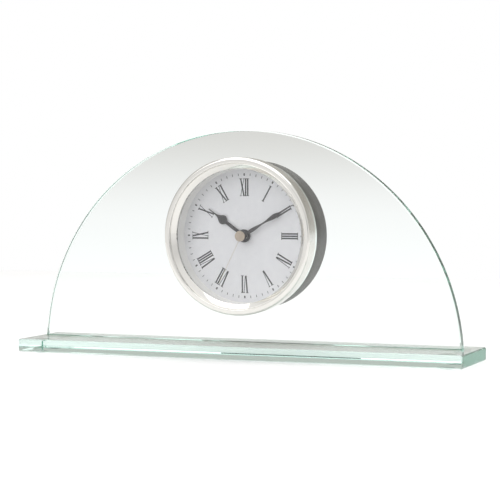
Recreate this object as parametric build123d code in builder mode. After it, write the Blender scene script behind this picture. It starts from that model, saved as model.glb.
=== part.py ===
"""Half-round glass mantel clock with a quartz insert, as separate pieces.

Units are millimetres. X runs along the clock, Y from front to back and Z up.
The origin is the middle of the footprint, on the surface that the clock stands on.
Everything in the insert is set out about one axis, which runs front to back
through the middle of the dial.
"""
from build123d import *
from math import acos, atan, cos, degrees, pi, radians, sin, sqrt, tan
import os

os.makedirs("parts", exist_ok=True)

# ---------------------------------------------------------------- driving dimensions
# Glass stand
BASE_LENGTH = 296.0
BASE_DEPTH = 54.0
BASE_THICKNESS = 8.0
BASE_CORNER = 1.5
BASE_ARRIS = 0.7
PAD_DIAMETER = 11.0
PAD_HEIGHT = 1.0
PAD_INSET = 12.0
BOND_THICKNESS = 0.1
UPRIGHT_THICKNESS = 6.0
UPRIGHT_RADIUS = 141.0
UPRIGHT_CENTRE_DROP = 8.0
UPRIGHT_ARRIS = 0.7
HOLE_RADIUS = 47.3
HOLE_FRONT_ARRIS = 0.3
HOLE_BACK_ARRIS = 0.9

# Where the insert sits
DIAL_Z = 76.0
DIAL_Y = 1.0

# Case of the insert
BEZEL_RADIUS = 49.0
BEZEL_STAND_OFF = 10.7
BEZEL_LIP_RADIUS = 41.9
BEZEL_BORE = 44.7
BARREL_RADIUS = 46.8
BARREL_WALL = 1.6
BARREL_BACK_Y = 25.0
BARREL_BACK_WALL = 1.6
LENS_THICKNESS = 1.2
GASKET_THICKNESS = 0.3
DIAL_THICKNESS = 0.5
SUPPORT_THICKNESS = 2.0
FIT = 0.1

# Hands, as heights in front of the dial
HOUR_HAND_HEIGHT = 1.0
MINUTE_HAND_HEIGHT = 3.0
SECOND_HAND_HEIGHT = 5.6
CAP_HEIGHT = 7.2
HAND_THICKNESS = 0.35
HOUR_ANGLE = 305.0
MINUTE_ANGLE = 60.0
SECOND_ANGLE = 207.0

# Quartz movement
MOVEMENT_SIZE = 56.0
MOVEMENT_CORNER = 4.0
MOVEMENT_DEPTH = 16.0
MOVEMENT_WALL = 1.3
WHEEL_THICKNESS = 0.8
CELL_DIAMETER = 14.2
CELL_LENGTH = 49.2
CELL_DROP = 19.4

# Gear train: numbers of teeth and modules
ROTOR_TEETH = 8
INTERMEDIATE_TEETH = 60
INTERMEDIATE_PINION = 10
SECONDS_TEETH = 40
SECONDS_PINION = 8
THIRD_TEETH = 60
THIRD_PINION = 8
CENTRE_TEETH = 64
MINUTE_PINION = 12
MINUTE_TEETH = 36
HOUR_PINION = 10
HOUR_TEETH = 40
SETTING_TEETH = 15
ROTOR_MODULE = 0.16
TRAIN_MODULE = 0.25
MOTION_MODULE = 0.32
PRESSURE_ANGLE = 25.0
ADDENDUM = 0.7
DEDENDUM = 0.95
BACKLASH = 0.05

# Battery contacts: flat strips with tails that run up the side walls to the board
CONTACT_THICKNESS = 0.3
TAIL_WIDTH = 3.0

# ---------------------------------------------------------------- derived places
BASE_TOP = PAD_HEIGHT + BASE_THICKNESS
UPRIGHT_FOOT = BASE_TOP + BOND_THICKNESS
UPRIGHT_CENTRE_Z = BASE_TOP - UPRIGHT_CENTRE_DROP
GLASS_FRONT = -UPRIGHT_THICKNESS / 2
GLASS_BACK = UPRIGHT_THICKNESS / 2
BEZEL_FRONT = GLASS_FRONT - BEZEL_STAND_OFF
BARREL_INNER = BARREL_RADIUS - BARREL_WALL
DIAL_RADIUS = BARREL_INNER - 2 * FIT
SUPPORT_BACK = DIAL_Y + DIAL_THICKNESS + SUPPORT_THICKNESS
PLATE_THICKNESS = 1.5
PLATE_BACK = SUPPORT_BACK + PLATE_THICKNESS
MOVEMENT_BACK = SUPPORT_BACK + MOVEMENT_DEPTH

# Planes of the gear train: the front face of each wheel, from the dial backwards
HOUR_WHEEL_Y = PLATE_BACK + 0.2
MINUTE_WHEEL_Y = PLATE_BACK + 1.2
CENTRE_WHEEL_Y = PLATE_BACK + 2.3
MID_PLATE_Y = PLATE_BACK + 3.9
THIRD_WHEEL_Y = PLATE_BACK + 5.1
SECONDS_WHEEL_Y = PLATE_BACK + 6.3
INTERMEDIATE_WHEEL_Y = PLATE_BACK + 7.5
ROTOR_Y = PLATE_BACK + 8.7
STATOR_Y = PLATE_BACK + 8.9
REAR_PLATE_Y = PLATE_BACK + 10.5
BRIDGE_THICKNESS = 0.8

# Shafts: outer radii, nested on the dial axis
SECONDS_ARBOR = 0.5
MINUTE_PIPE = 1.6
HOUR_PIPE = 2.5
BUSHING = 3.9
RUNNING_CLEARANCE = 0.05
PIVOT = 0.4


def mesh_distance(teeth_a, teeth_b, module):
    """Distance between the axes of two meshing gears."""
    return (teeth_a + teeth_b) * module / 2


def polar(origin, distance, angle):
    """Point at a distance and an angle in degrees from another, seen from the front."""
    return (origin[0] + distance * cos(radians(angle)), origin[1] + distance * sin(radians(angle)))


# Axes of the train as (X, Z), measured from the dial axis
THIRD_DIRECTION = 150.0
MINUTE_DIRECTION = -30.0
SETTING_DIRECTION = 0.0
INTERMEDIATE_DIRECTION = 60.0
ROTOR_DIRECTION = 60.0
CENTRE = (0.0, 0.0)
THIRD_AXIS = polar(CENTRE, mesh_distance(SECONDS_PINION, THIRD_TEETH, TRAIN_MODULE), THIRD_DIRECTION)
MINUTE_AXIS = polar(CENTRE, mesh_distance(MINUTE_PINION, MINUTE_TEETH, MOTION_MODULE), MINUTE_DIRECTION)
SETTING_AXIS = polar(
    MINUTE_AXIS, mesh_distance(SETTING_TEETH, MINUTE_TEETH, MOTION_MODULE), SETTING_DIRECTION
)
INTERMEDIATE_AXIS = polar(
    CENTRE, mesh_distance(INTERMEDIATE_PINION, SECONDS_TEETH, TRAIN_MODULE), INTERMEDIATE_DIRECTION
)
ROTOR_AXIS = polar(
    INTERMEDIATE_AXIS, mesh_distance(ROTOR_TEETH, INTERMEDIATE_TEETH, ROTOR_MODULE), ROTOR_DIRECTION
)
CENTRE_MODULE = 2 * mesh_distance(SECONDS_PINION, THIRD_TEETH, TRAIN_MODULE) / (THIRD_PINION + CENTRE_TEETH)
HOUR_MODULE = 2 * mesh_distance(MINUTE_PINION, MINUTE_TEETH, MOTION_MODULE) / (HOUR_PINION + HOUR_TEETH)


# ---------------------------------------------------------------- helpers
def facing(y, centre=CENTRE):
    """Sketch plane at depth y, seen from the front, centred on an axis of the insert."""
    return Plane((centre[0], y, DIAL_Z + centre[1]), x_dir=(1, 0, 0), z_dir=(0, -1, 0))


def lengthwise(centre=CENTRE):
    """Sketch plane through an axis of the insert, with radius along x and depth along y."""
    return Plane((centre[0], 0, DIAL_Z + centre[1]), x_dir=(1, 0, 0), z_dir=(0, 0, 1))


def axis_at(centre=CENTRE):
    """Front-to-back axis through a point of the insert."""
    return Axis((centre[0], 0, DIAL_Z + centre[1]), (0, 1, 0))


def disc(front, back, radius, bore=0.0, centre=CENTRE, mode=Mode.ADD):
    """Turned disc, sleeve or bore between two depths, added to the part being built."""
    with BuildSketch(facing(back, centre)) as ring:
        Circle(radius)
        if bore > 0:
            Circle(bore, mode=Mode.SUBTRACT)
    extrude(ring.sketch, amount=back - front, mode=mode)


def involute(angle):
    """Involute function of a pressure angle in radians."""
    return tan(angle) - angle


def half_angle(radius, pitch_radius, half_pitch_angle):
    """Half the angle that a tooth fills at a radius, in radians."""
    pressure = radians(PRESSURE_ANGLE)
    base_radius = pitch_radius * cos(pressure)
    local = acos(base_radius / radius) if radius > base_radius else 0.0
    return half_pitch_angle + involute(pressure) - involute(local)


def tooth_points(teeth, module, index, phase):
    """Outline of one tooth from root to root; phase is a tooth's centre, in degrees."""
    pitch_radius = teeth * module / 2
    half_pitch_angle = (pi * module / 2 - BACKLASH) / 2 / pitch_radius
    centre_angle = radians(phase) + 2 * pi * index / teeth
    root = pitch_radius - DEDENDUM * module
    radii = [root, pitch_radius - 0.4 * module, pitch_radius, pitch_radius + ADDENDUM * module]
    flank = [(radius, half_angle(radius, pitch_radius, half_pitch_angle)) for radius in radii]
    right = [(radius * cos(centre_angle - half), radius * sin(centre_angle - half)) for radius, half in flank]
    left = [(radius * cos(centre_angle + half), radius * sin(centre_angle + half)) for radius, half in flank]
    return right + left[::-1]


def gear(front, teeth, module, phase, centre=CENTRE, thickness=WHEEL_THICKNESS):
    """Spur gear from a front face backwards, added to the part being built."""
    outline = []
    for index in range(teeth):
        outline += tooth_points(teeth, module, index, phase)
    with BuildSketch(facing(front + thickness, centre)) as teeth_outline:
        with BuildLine():
            Polyline(*outline, close=True)
        make_face()
    extrude(teeth_outline.sketch, amount=thickness)


def crossings(front, inner, outer, arms, centre=CENTRE, thickness=WHEEL_THICKNESS):
    """Round windows between the arms of a wheel."""
    window = (outer - inner) / 2
    with BuildSketch(facing(front + thickness, centre)) as windows:
        with PolarLocations((outer + inner) / 2, arms):
            Circle(window)
    extrude(windows.sketch, amount=thickness, mode=Mode.SUBTRACT)


def mesh_phase(direction, teeth, phase, mate_teeth):
    """Phase of a gear that meshes with its mate, which lies in a direction from it."""
    offset = (phase - direction) * teeth / 360.0
    return direction + 180.0 + (0.5 - offset) * 360.0 / mate_teeth


def save(piece, name):
    """Label a finished piece and write it."""
    piece.part.label = name
    export_step(piece.part, f"parts/{name}.step")


# ---------------------------------------------------------------- glass stand
with BuildPart() as base_glass:
    with BuildSketch(Plane.XY.offset(PAD_HEIGHT)):
        RectangleRounded(BASE_LENGTH, BASE_DEPTH, BASE_CORNER)
    extrude(amount=BASE_THICKNESS)
    chamfer(base_glass.edges().group_by(Axis.Z)[-1], BASE_ARRIS)
    chamfer(base_glass.edges().group_by(Axis.Z)[0], BASE_ARRIS)
save(base_glass, "base_glass")

with BuildPart() as base_pads:
    pad_x = BASE_LENGTH - 2 * PAD_INSET
    pad_y = BASE_DEPTH - 2 * PAD_INSET
    with BuildSketch(Plane.XY):
        with GridLocations(pad_x, pad_y, 2, 2):
            Circle(PAD_DIAMETER / 2)
    extrude(amount=PAD_HEIGHT)
    fillet(base_pads.edges().group_by(Axis.Z)[0], PAD_HEIGHT / 3)
save(base_pads, "base_pads")

UPRIGHT_HALF_CHORD = sqrt(UPRIGHT_RADIUS**2 - (UPRIGHT_FOOT - UPRIGHT_CENTRE_Z) ** 2)
UPRIGHT_TOP = UPRIGHT_CENTRE_Z + UPRIGHT_RADIUS

with BuildPart() as upright_glass:
    with BuildSketch(Plane((0, GLASS_BACK, 0), x_dir=(1, 0, 0), z_dir=(0, -1, 0))):
        with BuildLine():
            foot_left = (-UPRIGHT_HALF_CHORD, UPRIGHT_FOOT)
            foot_right = (UPRIGHT_HALF_CHORD, UPRIGHT_FOOT)
            ThreePointArc(foot_left, (0, UPRIGHT_TOP), foot_right)
            Line(foot_right, foot_left)
        make_face()
    extrude(amount=UPRIGHT_THICKNESS)
    rims = upright_glass.edges().filter_by(GeomType.CIRCLE)
    chamfer(rims, UPRIGHT_ARRIS)
    disc(GLASS_FRONT, GLASS_BACK, HOLE_RADIUS, mode=Mode.SUBTRACT)
    hole_rims = upright_glass.edges().filter_by(GeomType.CIRCLE).sort_by(SortBy.RADIUS)[:2]
    front_rim, back_rim = hole_rims.sort_by(Axis.Y)
    chamfer(front_rim, HOLE_FRONT_ARRIS)
    chamfer(back_rim, HOLE_BACK_ARRIS)
save(upright_glass, "upright_glass")

with BuildPart() as bond_line:
    with BuildSketch(Plane.XY.offset(BASE_TOP)):
        Rectangle(2 * UPRIGHT_HALF_CHORD - 4 * UPRIGHT_ARRIS, UPRIGHT_THICKNESS - UPRIGHT_ARRIS)
    extrude(amount=BOND_THICKNESS)
save(bond_line, "bond_line")

# ---------------------------------------------------------------- insert case
LIP_FRONT = DIAL_Y - 10.9
LIP_BACK = LIP_FRONT + 0.8
SOCKET_FRONT = GLASS_FRONT - 3.0
GROOVE_RADIUS = 45.2
GROOVE_FRONT = BEZEL_FRONT + 1.0
SHOULDER_RADIUS = 3.2
HEEL = 0.6
CREST_RADIUS = BEZEL_RADIUS - SHOULDER_RADIUS

with BuildPart() as bezel_ring:
    with BuildSketch(lengthwise()):
        with BuildLine():
            Line((BEZEL_RADIUS, GLASS_FRONT - HEEL), (BEZEL_RADIUS, BEZEL_FRONT + SHOULDER_RADIUS))
            RadiusArc(
                (BEZEL_RADIUS, BEZEL_FRONT + SHOULDER_RADIUS), (CREST_RADIUS, BEZEL_FRONT), SHOULDER_RADIUS
            )
            Polyline(
                (CREST_RADIUS, BEZEL_FRONT),
                (GROOVE_RADIUS + 0.2, BEZEL_FRONT + 0.2),
                (GROOVE_RADIUS, GROOVE_FRONT),
                (GROOVE_RADIUS - 0.4, GROOVE_FRONT),
                (BEZEL_LIP_RADIUS + 0.3, LIP_FRONT),
                (BEZEL_LIP_RADIUS, LIP_FRONT + 0.3),
                (BEZEL_LIP_RADIUS, LIP_BACK),
                (BEZEL_BORE, LIP_BACK),
                (BEZEL_BORE, SOCKET_FRONT),
                (BARREL_RADIUS + FIT, SOCKET_FRONT),
                (BARREL_RADIUS + FIT, GLASS_FRONT),
                (BEZEL_RADIUS - HEEL, GLASS_FRONT),
                (BEZEL_RADIUS, GLASS_FRONT - HEEL),
            )
        make_face()
    revolve(axis=axis_at())
save(bezel_ring, "bezel_ring")

LENS_RADIUS = BEZEL_BORE - 2 * FIT
LENS_BACK = LIP_BACK + LENS_THICKNESS
GASKET_BACK = LENS_BACK + GASKET_THICKNESS

with BuildPart() as lens:
    disc(LIP_BACK, LENS_BACK, LENS_RADIUS)
    chamfer(lens.edges().filter_by(GeomType.CIRCLE), 0.2)
save(lens, "lens")

with BuildPart() as lens_gasket:
    disc(LENS_BACK, GASKET_BACK, LENS_RADIUS, BEZEL_LIP_RADIUS + 0.4)
save(lens_gasket, "lens_gasket")

with BuildPart() as inner_ring:
    with BuildSketch(lengthwise()):
        with BuildLine():
            Polyline(
                (BEZEL_LIP_RADIUS, GASKET_BACK),
                (LENS_RADIUS, GASKET_BACK),
                (LENS_RADIUS, DIAL_Y),
                (BEZEL_LIP_RADIUS - 0.2, DIAL_Y),
                (BEZEL_LIP_RADIUS - 0.2, DIAL_Y - 0.6),
                close=True,
            )
        make_face()
    revolve(axis=axis_at())
save(inner_ring, "inner_ring")

SNAP_BEAD = 0.35
LEDGE_RADIUS = 43.0
LEDGE_DEPTH = 1.6
WINDOW_SIZE = MOVEMENT_SIZE + 2.0

with BuildPart() as barrel_case:
    disc(SOCKET_FRONT + FIT, BARREL_BACK_Y, BARREL_RADIUS, BARREL_INNER)
    disc(SUPPORT_BACK, SUPPORT_BACK + LEDGE_DEPTH, BARREL_INNER + SNAP_BEAD, LEDGE_RADIUS)
    disc(BARREL_BACK_Y - BARREL_BACK_WALL, BARREL_BACK_Y, BARREL_INNER + SNAP_BEAD)
    with BuildSketch(facing(BARREL_BACK_Y)):
        RectangleRounded(WINDOW_SIZE, WINDOW_SIZE, MOVEMENT_CORNER)
    extrude(amount=BARREL_BACK_WALL, mode=Mode.SUBTRACT)
    back_rim = barrel_case.edges().filter_by(GeomType.CIRCLE).group_by(Axis.Y)[-1].sort_by(SortBy.RADIUS)[-1]
    fillet(back_rim, BARREL_BACK_WALL / 2)
save(barrel_case, "barrel_case")

GRIP_OUTER = HOLE_RADIUS - FIT / 2
GRIP_INNER = BARREL_RADIUS + FIT / 2

with BuildPart() as grip_sleeve:
    disc(GLASS_FRONT + 0.4, GLASS_BACK - 0.4, GRIP_OUTER, GRIP_INNER)
save(grip_sleeve, "grip_sleeve")

with BuildPart() as dial:
    disc(DIAL_Y, DIAL_Y + DIAL_THICKNESS, DIAL_RADIUS, BUSHING + FIT)
save(dial, "dial")

LUG_REACH = 33.0
LUG_RADIUS = 3.5
SCREW_RADIUS = 1.0
SCREW_HEAD_RADIUS = 1.9
SCREW_HEAD_HEIGHT = 1.2
SCREW_TIP_Y = DIAL_Y + DIAL_THICKNESS + 0.2

with BuildPart() as dial_support:
    disc(DIAL_Y + DIAL_THICKNESS, SUPPORT_BACK, DIAL_RADIUS, BUSHING + FIT)
    with BuildSketch(facing(SUPPORT_BACK)):
        with PolarLocations(LUG_REACH, 2):
            Circle(SCREW_RADIUS)
    extrude(amount=SUPPORT_BACK - SCREW_TIP_Y, mode=Mode.SUBTRACT)
save(dial_support, "dial_support")

with BuildPart() as movement_screws:
    with BuildSketch(facing(PLATE_BACK)):
        with PolarLocations(LUG_REACH, 2):
            Circle(SCREW_RADIUS - 0.02)
    extrude(amount=PLATE_BACK - SCREW_TIP_Y)
    with BuildSketch(facing(PLATE_BACK + SCREW_HEAD_HEIGHT)):
        with PolarLocations(LUG_REACH, 2):
            Circle(SCREW_HEAD_RADIUS)
    extrude(amount=SCREW_HEAD_HEIGHT)
    with BuildSketch(facing(PLATE_BACK + SCREW_HEAD_HEIGHT)):
        with PolarLocations(LUG_REACH, 2):
            Rectangle(0.5, 2.6)
            Rectangle(2.6, 0.5)
    extrude(amount=0.6, mode=Mode.SUBTRACT)
save(movement_screws, "movement_screws")

# ---------------------------------------------------------------- hands
HOUR_BALL = 17.45
HOUR_BALL_RADIUS = 2.9
HOUR_SHOULDER = 50.0
HOUR_STEM = 2.0
HOUR_NECK = 24.0
HOUR_LENGTH = 29.2
HOUR_HUB_RADIUS = 4.1
MINUTE_ROOT_WIDTH = 1.7
MINUTE_BELLY = 8.3
MINUTE_BELLY_WIDTH = 2.3
MINUTE_WAIST = 17.2
MINUTE_WAIST_WIDTH = 1.0
MINUTE_SWELL = 25.6
MINUTE_SWELL_WIDTH = 2.8
MINUTE_NECK = 31.2
MINUTE_LENGTH = 38.8
MINUTE_HUB_RADIUS = 3.0
NECK_WIDTH = 0.7
TIP_WIDTH = 0.45
SECOND_LENGTH = 33.0
SECOND_WIDTH = 0.25
CAP_RADIUS = 3.3
CAP_THICKNESS = 0.7


def hand_plane(height, clock_angle):
    """Sketch plane on the back of a hand, with x along the hand."""
    direction = radians(90.0 - clock_angle)
    return Plane((0, DIAL_Y - height, DIAL_Z), x_dir=(cos(direction), 0, sin(direction)), z_dir=(0, -1, 0))


def spike(neck, length, start):
    """Half outline of a hand's slender tip, from its neck to its blunt end and back along the axis to a start."""
    Line((neck, NECK_WIDTH / 2), (length, TIP_WIDTH / 2))
    Line((length, TIP_WIDTH / 2), (length, 0))
    Line((length, 0), (start, 0))


with BuildPart() as hour_hand:
    with BuildSketch(hand_plane(HOUR_HAND_HEIGHT, HOUR_ANGLE)):
        with BuildLine():
            shoulder = radians(HOUR_SHOULDER)
            flank = (HOUR_BALL + HOUR_BALL_RADIUS * cos(shoulder), HOUR_BALL_RADIUS * sin(shoulder))
            spike(HOUR_NECK, HOUR_LENGTH, HOUR_BALL)
            Line((HOUR_BALL, 0), flank)
            Spline(flank, (HOUR_NECK, NECK_WIDTH / 2), tangents=[(sin(shoulder), -cos(shoulder)), (1, 0)])
        make_face()
        mirror(about=Plane.XZ)
        Circle(HOUR_HUB_RADIUS)
        with Locations((HOUR_BALL / 2, 0)):
            Rectangle(HOUR_BALL, HOUR_STEM)
        with Locations((HOUR_BALL, 0)):
            Circle(HOUR_BALL_RADIUS)
        Circle(HOUR_PIPE, mode=Mode.SUBTRACT)
    extrude(amount=HAND_THICKNESS)
save(hour_hand, "hour_hand")

with BuildPart() as minute_hand:
    with BuildSketch(hand_plane(MINUTE_HAND_HEIGHT, MINUTE_ANGLE)):
        with BuildLine():
            root = (0, MINUTE_ROOT_WIDTH / 2)
            spike(MINUTE_NECK, MINUTE_LENGTH, 0)
            Line((0, 0), root)
            Spline(
                root,
                (MINUTE_BELLY, MINUTE_BELLY_WIDTH / 2),
                (MINUTE_WAIST, MINUTE_WAIST_WIDTH / 2),
                (MINUTE_SWELL, MINUTE_SWELL_WIDTH / 2),
                (MINUTE_NECK, NECK_WIDTH / 2),
                tangents=[(1, 0), (1, 0)],
            )
        make_face()
        mirror(about=Plane.XZ)
        Circle(MINUTE_HUB_RADIUS)
        Circle(MINUTE_PIPE, mode=Mode.SUBTRACT)
    extrude(amount=HAND_THICKNESS)
save(minute_hand, "minute_hand")

SECOND_TUBE = 1.1
CAP_FRONT = DIAL_Y - CAP_HEIGHT - CAP_THICKNESS

with BuildPart() as second_hand:
    with BuildSketch(hand_plane(SECOND_HAND_HEIGHT, SECOND_ANGLE)):
        with Locations((SECOND_LENGTH / 2, 0)):
            Rectangle(SECOND_LENGTH, SECOND_WIDTH)
        Circle(SECOND_TUBE)
    extrude(amount=0.25)
    disc(DIAL_Y - CAP_HEIGHT, DIAL_Y - SECOND_HAND_HEIGHT + 0.6, SECOND_TUBE)
    disc(DIAL_Y - CAP_HEIGHT, DIAL_Y - SECOND_HAND_HEIGHT + 0.6, SECONDS_ARBOR, mode=Mode.SUBTRACT)
save(second_hand, "second_hand")

with BuildPart() as second_hand_cap:
    disc(CAP_FRONT, DIAL_Y - CAP_HEIGHT, CAP_RADIUS)
    fillet(second_hand_cap.edges().filter_by(GeomType.CIRCLE).sort_by(Axis.Y)[0], 0.3)
save(second_hand_cap, "second_hand_cap")

# ---------------------------------------------------------------- movement case
STUD = 0.5
POST_RADIUS = 1.5
POST_PLACES = [(-16.0, -8.5), (17.5, -8.5), (-16.0, 12.0), (22.5, 12.0)]
BAY_CLEARANCE = 0.2
BAY_WALL_Z = -CELL_DROP + CELL_DIAMETER / 2 + BAY_CLEARANCE + MOVEMENT_WALL
SETTING_SHAFT = 1.1

with BuildPart() as movement_front_plate:
    with BuildSketch(facing(PLATE_BACK)):
        RectangleRounded(MOVEMENT_SIZE, MOVEMENT_SIZE, MOVEMENT_CORNER)
        SlotCenterToCenter(2 * LUG_REACH, 2 * LUG_RADIUS)
        with PolarLocations(LUG_REACH, 2):
            Circle(SCREW_RADIUS + FIT, mode=Mode.SUBTRACT)
    extrude(amount=PLATE_THICKNESS)
    disc(DIAL_Y - 0.3, SUPPORT_BACK, BUSHING)
    disc(DIAL_Y - 0.3, PLATE_BACK, HOUR_PIPE + RUNNING_CLEARANCE, mode=Mode.SUBTRACT)
    disc(PLATE_BACK, MINUTE_WHEEL_Y + WHEEL_THICKNESS + 0.1, STUD, centre=MINUTE_AXIS)
    for place in POST_PLACES:
        disc(PLATE_BACK, MID_PLATE_Y, POST_RADIUS, centre=place)
    for pivot_axis in (THIRD_AXIS, SETTING_AXIS):
        disc(PLATE_BACK - 1.0, PLATE_BACK, PIVOT + RUNNING_CLEARANCE, centre=pivot_axis, mode=Mode.SUBTRACT)
save(movement_front_plate, "movement_front_plate")

CASE_HALF = MOVEMENT_SIZE / 2
CAVITY_TOP = CASE_HALF - MOVEMENT_WALL
CAVITY_HEIGHT = CAVITY_TOP - BAY_WALL_Z
CAVITY_CENTRE = BAY_WALL_Z + CAVITY_HEIGHT / 2
BAY_FLOOR_Z = -CASE_HALF + MOVEMENT_WALL
BAY_HEIGHT = BAY_WALL_Z - MOVEMENT_WALL - BAY_FLOOR_Z
CAVITY_WIDTH = MOVEMENT_SIZE - 2 * MOVEMENT_WALL
BAY_HALF = CAVITY_WIDTH / 2
CAVITY_CORNER = MOVEMENT_CORNER - MOVEMENT_WALL
TAIL_Y = REAR_PLATE_Y + BRIDGE_THICKNESS

with BuildPart() as movement_back_case:
    with BuildSketch(facing(MOVEMENT_BACK)):
        RectangleRounded(MOVEMENT_SIZE, MOVEMENT_SIZE, MOVEMENT_CORNER)
    extrude(amount=MOVEMENT_BACK - PLATE_BACK)
    with BuildSketch(facing(MOVEMENT_BACK - MOVEMENT_WALL)):
        with Locations((0, CAVITY_CENTRE)):
            RectangleRounded(CAVITY_WIDTH, CAVITY_HEIGHT, CAVITY_CORNER)
    extrude(amount=MOVEMENT_BACK - MOVEMENT_WALL - PLATE_BACK, mode=Mode.SUBTRACT)
    with BuildSketch(facing(MOVEMENT_BACK)):
        with Locations((0, BAY_FLOOR_Z + BAY_HEIGHT / 2)):
            Rectangle(CAVITY_WIDTH, BAY_HEIGHT)
    extrude(amount=MOVEMENT_DEPTH - PLATE_THICKNESS - 0.4, mode=Mode.SUBTRACT)
    disc(
        MOVEMENT_BACK - MOVEMENT_WALL,
        MOVEMENT_BACK,
        SETTING_SHAFT + RUNNING_CLEARANCE,
        centre=SETTING_AXIS,
        mode=Mode.SUBTRACT,
    )
    with BuildSketch(Plane.XY.offset(DIAL_Z + BAY_WALL_Z + CAVITY_CORNER)):
        with Locations((0, TAIL_Y)):
            with GridLocations(CAVITY_WIDTH - CONTACT_THICKNESS - FIT / 2, 0, 2, 1):
                Rectangle(CONTACT_THICKNESS + FIT / 2, TAIL_WIDTH + FIT)
    extrude(amount=-MOVEMENT_WALL - CAVITY_CORNER, mode=Mode.SUBTRACT)
    outer_edges = movement_back_case.faces().sort_by(Axis.Y)[-1].outer_wire().edges()
    fillet(outer_edges, 0.5)
save(movement_back_case, "movement_back_case")

BRIDGE_LEFT = -19.0
BRIDGE_RIGHT = 25.0
BRIDGE_BOTTOM = BAY_WALL_Z + 0.3
BRIDGE_TOP = 14.5


def bridge_plate(front):
    """Flat plate across the movement, behind a depth."""
    with BuildSketch(facing(front + BRIDGE_THICKNESS)) as plate:
        with Locations(((BRIDGE_LEFT + BRIDGE_RIGHT) / 2, (BRIDGE_BOTTOM + BRIDGE_TOP) / 2)):
            RectangleRounded(BRIDGE_RIGHT - BRIDGE_LEFT, BRIDGE_TOP - BRIDGE_BOTTOM, 2.0)
    extrude(plate.sketch, amount=BRIDGE_THICKNESS)


with BuildPart() as middle_bridge:
    bridge_plate(MID_PLATE_Y)
    for place in POST_PLACES:
        disc(MID_PLATE_Y + BRIDGE_THICKNESS, REAR_PLATE_Y, POST_RADIUS, centre=place)
    for hole_axis, radius in (
        (CENTRE, SECONDS_ARBOR + RUNNING_CLEARANCE),
        (INTERMEDIATE_AXIS, PIVOT + RUNNING_CLEARANCE),
        (THIRD_AXIS, 1.4),
        (SETTING_AXIS, SETTING_SHAFT + 0.3),
    ):
        disc(MID_PLATE_Y, MID_PLATE_Y + BRIDGE_THICKNESS, radius, centre=hole_axis, mode=Mode.SUBTRACT)
save(middle_bridge, "middle_bridge")

with BuildPart() as rear_bridge:
    bridge_plate(REAR_PLATE_Y)
    for hole_axis, radius in (
        (CENTRE, PIVOT + RUNNING_CLEARANCE),
        (INTERMEDIATE_AXIS, PIVOT + RUNNING_CLEARANCE),
        (THIRD_AXIS, PIVOT + RUNNING_CLEARANCE),
        (ROTOR_AXIS, PIVOT + RUNNING_CLEARANCE),
        (SETTING_AXIS, SETTING_SHAFT + 0.3),
    ):
        disc(REAR_PLATE_Y, REAR_PLATE_Y + BRIDGE_THICKNESS, radius, centre=hole_axis, mode=Mode.SUBTRACT)
save(rear_bridge, "rear_bridge")

# ---------------------------------------------------------------- motor and circuit
COIL_Z = 20.3
COIL_RADIUS = 3.6
COIL_CORE_RADIUS = 1.7
COIL_LENGTH = 14.0
COIL_FLANGE = 0.6
STATOR_THICKNESS = 1.0
STATOR_HALF = 13.0
STATOR_LEG = 4.6
STATOR_BOTTOM = ROTOR_AXIS[1] - 3.9
STATOR_TOP = COIL_Z + 3.2
STATOR_BRIDGE_TOP = ROTOR_AXIS[1] + 4.2
ROTOR_RADIUS = 2.4
ROTOR_BORE = 0.45
ROTOR_LENGTH = 1.4

with BuildPart() as stator_plate:
    with BuildSketch(facing(STATOR_Y + STATOR_THICKNESS)):
        with Locations((ROTOR_AXIS[0], (STATOR_BOTTOM + STATOR_BRIDGE_TOP) / 2)):
            Rectangle(2 * STATOR_HALF, STATOR_BRIDGE_TOP - STATOR_BOTTOM)
        with Locations((ROTOR_AXIS[0], (STATOR_BOTTOM + STATOR_TOP) / 2)):
            with GridLocations(2 * STATOR_HALF - STATOR_LEG, 0, 2, 1):
                Rectangle(STATOR_LEG, STATOR_TOP - STATOR_BOTTOM)
        with Locations(ROTOR_AXIS):
            Circle(ROTOR_RADIUS + 0.5, mode=Mode.SUBTRACT)
    extrude(amount=STATOR_THICKNESS)
save(stator_plate, "stator_plate")

CORE_WIDTH = 2.4
CORE_THICKNESS = 0.9
CORE_BACK = STATOR_Y

with BuildPart() as coil_core:
    with BuildSketch(facing(CORE_BACK)):
        with Locations((ROTOR_AXIS[0], COIL_Z)):
            Rectangle(2 * STATOR_HALF, CORE_WIDTH)
    extrude(amount=CORE_THICKNESS)
save(coil_core, "coil_core")

coil_plane = Plane(
    (ROTOR_AXIS[0] - COIL_LENGTH / 2, CORE_BACK - CORE_THICKNESS / 2, DIAL_Z + COIL_Z),
    x_dir=(0, 1, 0),
    z_dir=(1, 0, 0),
)

with BuildPart() as coil_bobbin:
    with BuildSketch(coil_plane):
        Circle(COIL_CORE_RADIUS)
    extrude(amount=COIL_LENGTH)
    with BuildSketch(coil_plane, coil_plane.offset(COIL_LENGTH - COIL_FLANGE)):
        Circle(COIL_RADIUS + 0.4)
    extrude(amount=COIL_FLANGE)
    with BuildSketch(coil_plane):
        Rectangle(CORE_THICKNESS, CORE_WIDTH)
    extrude(amount=COIL_LENGTH, mode=Mode.SUBTRACT)
save(coil_bobbin, "coil_bobbin")

with BuildPart() as coil_winding:
    with BuildSketch(coil_plane.offset(COIL_FLANGE)):
        Circle(COIL_RADIUS)
        Circle(COIL_CORE_RADIUS, mode=Mode.SUBTRACT)
    extrude(amount=COIL_LENGTH - 2 * COIL_FLANGE)
save(coil_winding, "coil_winding")

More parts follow.
